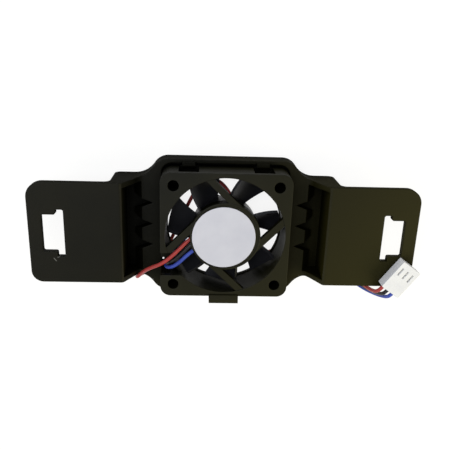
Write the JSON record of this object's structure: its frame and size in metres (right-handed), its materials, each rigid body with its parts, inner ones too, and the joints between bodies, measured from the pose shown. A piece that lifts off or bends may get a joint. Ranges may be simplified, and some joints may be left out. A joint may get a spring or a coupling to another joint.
{
  "type": "server fan module",
  "caption": "Small axial fan held in a black moulded bracket with two flat slotted mounting wings, grooved side plates beside the fan, and leads ending in a white connector.",
  "frame": {"origin": "on the fan's axis, in the plane of the bracket's rear edges, which it rests on", "axes": "+Z along the fan's axis, out of the labelled front; +X along the wings, towards the connector; +Y across the wings, away from the latch"},
  "size_m": [0.1515, 0.0552, 0.0238],
  "materials": {
    "bracket_plastic": "fine moulded texture",
    "fan_plastic": "satin moulded",
    "impeller_plastic": "satin moulded",
    "label_film": "printed film",
    "bearing_brass": "turned",
    "bearing_steel": "ground",
    "shaft_steel": "ground",
    "core_steel": "stacked sheet",
    "yoke_steel": "drawn",
    "magnet": "bonded ferrite",
    "insulator_plastic": "moulded",
    "winding_copper": "enamelled copper wire",
    "board_laminate": "solder mask",
    "chip_plastic": "moulded",
    "capacitor_body": "fired",
    "solder": "solder",
    "red_insulation": "extruded",
    "black_insulation": "extruded",
    "blue_insulation": "extruded",
    "connector_plastic": "moulded",
    "terminal_metal": "tinned"
  },
  "bodies": {
    "module": {"bearing_holder": "bearing_brass", "black_lead": "black_insulation", "blue_lead": "blue_insulation", "bracket": "bracket_plastic", "capacitor": "capacitor_body", "circuit_board": "board_laminate", "coil_1": "winding_copper", "coil_2": "winding_copper", "coil_3": "winding_copper", "coil_4": "winding_copper", "coil_pins": "solder", "connector_housing": "connector_plastic", "crimp_terminal_1": "terminal_metal", "crimp_terminal_2": "terminal_metal", "crimp_terminal_3": "terminal_metal", "driver_chip": "chip_plastic", "fan_frame": "fan_plastic", "front_bearing_balls": "bearing_steel", "front_bearing_outer_ring": "bearing_steel", "front_bearing_shields": "bearing_steel", "front_insulator": "insulator_plastic", "hall_sensor": "chip_plastic", "name_label": "label_film", "rear_bearing_balls": "bearing_steel", "rear_bearing_outer_ring": "bearing_steel", "rear_bearing_shields": "bearing_steel", "rear_insulator": "insulator_plastic", "red_lead": "red_insulation", "resistor": "chip_plastic", "solder_joints": "solder", "stator_core": "core_steel"},
    "rotor": {"impeller": "impeller_plastic", "rotor_yoke": "yoke_steel", "ring_magnet": "magnet", "shaft_bush": "bearing_brass", "shaft": "shaft_steel", "rear_bearing_inner_ring": "bearing_steel", "front_bearing_inner_ring": "bearing_steel", "preload_spring": "shaft_steel", "shaft_clip": "shaft_steel", "shaft_washer": "shaft_steel"}
  },
  "joints": [
    {"name": "rotor_spin", "type": "hinge", "parent": "module", "child": "rotor", "pos_m": [0, 0, 0.01], "axis": [0, 0, -1], "continuous": true}
  ]
}
